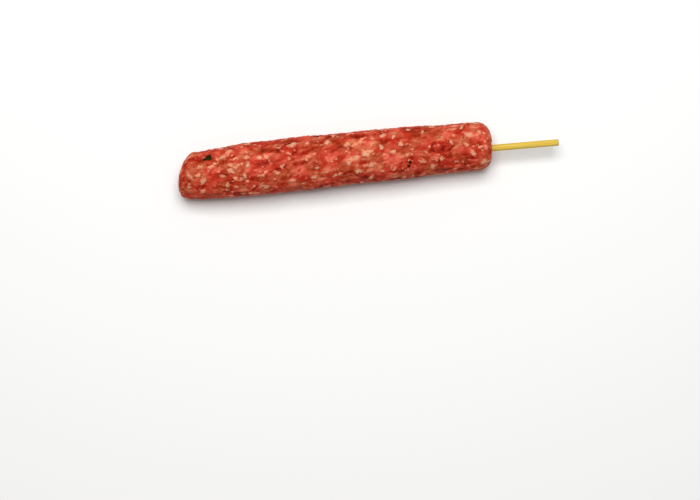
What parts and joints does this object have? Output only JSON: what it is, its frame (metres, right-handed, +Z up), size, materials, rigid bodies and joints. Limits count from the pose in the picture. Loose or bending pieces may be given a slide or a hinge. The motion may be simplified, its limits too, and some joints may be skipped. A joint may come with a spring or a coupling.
{
  "type": "kofta skewer",
  "caption": "Raw minced meat pressed by hand into a long round bar over a thin round bamboo stick, whose bare end sticks out as a handle.",
  "frame": {"origin": "middle of the skewer's outer box, at the surface that the meat lies on", "axes": "+X along the stick towards its bare end, +Y across the skewer, +Z up"},
  "size_m": [0.2556, 0.0366, 0.032],
  "materials": {
    "minced_meat": "satin",
    "bamboo": "matte"
  },
  "bodies": {
    "root": {"minced_meat": "minced_meat", "bamboo_stick": "bamboo"}
  },
  "joints": []
}
